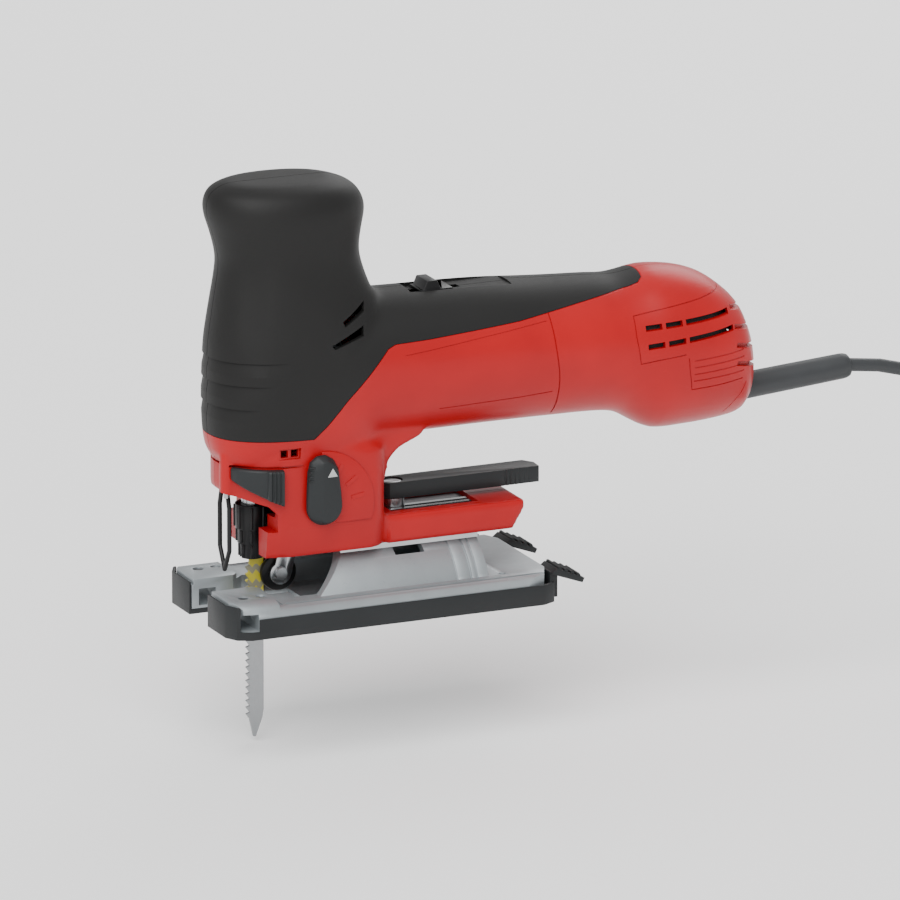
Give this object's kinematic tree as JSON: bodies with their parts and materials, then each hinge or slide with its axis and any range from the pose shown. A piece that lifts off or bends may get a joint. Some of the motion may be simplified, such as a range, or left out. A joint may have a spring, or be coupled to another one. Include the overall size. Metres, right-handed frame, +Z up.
{
  "type": "jigsaw",
  "caption": "Barrel-grip corded jigsaw with soft-grip knob, tilting cast base with clip-on sole, pendulum guide roller, blade release lever and a blade in its clamp.",
  "frame": {"origin": "on the underside of the sole, below the plunger axis, in the blade plane", "axes": "+Z up along the plunger, +X towards the cord end, +Y towards the right-hand side"},
  "size_m": [0.507, 0.0882, 0.2502],
  "materials": {
    "red_shell": "satin",
    "soft_grip": "satin",
    "screw_steel": "satin",
    "dark_screw": "satin",
    "gear_steel": "satin",
    "bright_steel": "bright",
    "blade_paint": "gloss over plain steel below",
    "black_plastic": "satin",
    "dark_plastic": "satin",
    "bronze": "satin",
    "cast_case": "cast",
    "cast_base": "cast, machined on the deck",
    "core_steel": "laminated",
    "copper": "enamelled wire",
    "carbon": "matte",
    "switch_red": "satin",
    "coated_wire": "satin",
    "cord_rubber": "satin"
  },
  "bodies": {
    "housing": {"housing_left": "red_shell", "housing_right": "red_shell", "soft_grip_left": "soft_grip", "soft_grip_right": "soft_grip", "housing_screws": "dark_screw", "gear_case": "cast_case", "plunger_bushes": "bronze", "gear_axle": "gear_steel", "front_bearing": "bright_steel", "rear_bearing": "bright_steel", "rear_bearing_seat": "black_plastic", "stator_core": "core_steel", "stator_coils": "copper", "brush_holders": "bronze", "carbon_brushes": "carbon", "brush_springs": "screw_steel", "switch_module": "black_plastic", "cord_clamp": "black_plastic", "strain_relief": "cord_rubber", "cord": "cord_rubber", "cord_coil": "cord_rubber", "cord_tail": "cord_rubber", "plug_body": "cord_rubber", "plug_pins": "bright_steel", "clamp_bolt": "screw_steel", "clamp_shoe": "gear_steel", "wire_guard": "coated_wire", "lever_pin": "screw_steel", "pendulum_pin": "screw_steel", "selector_plate": "dark_plastic", "foot_rails": "bright_steel"},
    "plunger_rod": {"plunger": "bright_steel", "scotch_yoke": "gear_steel", "blade_holder": "gear_steel", "blade": "blade_paint"},
    "clamp_sleeve": {"clamp_collar": "black_plastic"},
    "blade_release": {"release_lever": "dark_plastic"},
    "gear": {"drive_gear": "gear_steel", "crank_pin": "gear_steel"},
    "armature": {"armature_shaft": "gear_steel", "armature_core": "core_steel", "commutator": "copper", "cooling_fan": "black_plastic"},
    "pendulum": {"roller_fork": "bright_steel", "roller_pin": "bright_steel"},
    "roller": {"guide_roller": "black_plastic"},
    "selector": {"orbit_selector": "black_plastic", "selector_shaft": "screw_steel"},
    "switch": {"switch_slider": "switch_red"},
    "bevel_clamp": {"bevel_lever": "dark_plastic", "lever_screw": "screw_steel"},
    "saddle": {"bevel_saddle": "bright_steel"},
    "base": {"base_plate": "cast_base", "base_hub": "cast_base", "prong_left": "cast_base", "prong_right": "cast_base", "overshoe": "dark_plastic", "fence_screws": "dark_screw", "prong_screws": "screw_steel"}
  },
  "joints": [
    {"name": "plunger_stroke", "type": "slide", "parent": "housing", "child": "plunger_rod", "axis": [0, 0, 1], "range_m": [0, 0.026]},
    {"name": "release_lever_swing", "type": "hinge", "parent": "housing", "child": "blade_release", "pos_m": [-0.0155, -0.0089, 0.062], "axis": [0, 0, -1], "range_deg": [0, 60], "stiffness_Nm_per_rad": 0.02},
    {"name": "clamp_collar_turn", "type": "hinge", "parent": "plunger_rod", "child": "clamp_sleeve", "pos_m": [0, 0, 0.038], "axis": [0, 0, -1], "range_deg": [0, 60]},
    {"name": "armature_spin", "type": "hinge", "parent": "housing", "child": "armature", "pos_m": [0.024, 0, 0.105], "axis": [1, 0, 0], "continuous": true},
    {"name": "gear_spin", "type": "hinge", "parent": "housing", "child": "gear", "pos_m": [0.014, 0, 0.129], "axis": [1, 0, 0], "continuous": true},
    {"name": "pendulum_swing", "type": "hinge", "parent": "housing", "child": "pendulum", "pos_m": [0.018, 0, 0.042], "axis": [0, -1, 0], "range_deg": [0, 4.5]},
    {"name": "guide_roller_spin", "type": "hinge", "parent": "pendulum", "child": "roller", "pos_m": [0.0113, 0, 0.0183], "axis": [0, 1, 0], "continuous": true},
    {"name": "orbit_selector_turn", "type": "hinge", "parent": "housing", "child": "selector", "pos_m": [0.0225, -0.028, 0.052], "axis": [0, 1, 0], "range_deg": [0, 90]},
    {"name": "switch_slide", "type": "slide", "parent": "housing", "child": "switch", "axis": [-1, 0, 0], "range_m": [0, 0.0055]},
    {"name": "bevel_lever_swing", "type": "hinge", "parent": "housing", "child": "bevel_clamp", "pos_m": [0.066, 0, 0.049], "axis": [0, 0, -1], "range_deg": [0, 75]},
    {"name": "base_shift", "type": "slide", "parent": "housing", "child": "saddle", "axis": [-1, 0, 0], "range_m": [0, 0.0035]},
    {"name": "base_tilt", "type": "hinge", "parent": "saddle", "child": "base", "pos_m": [0.06, 0, 0], "axis": [1, 0, 0], "range_deg": [-30, 30]}
  ],
  "couplings": [
    {"joint": "gear_spin", "follows": "armature_spin", "ratio": -0.2},
    {"joint": "clamp_collar_turn", "follows": "release_lever_swing", "ratio": 1}
  ]
}
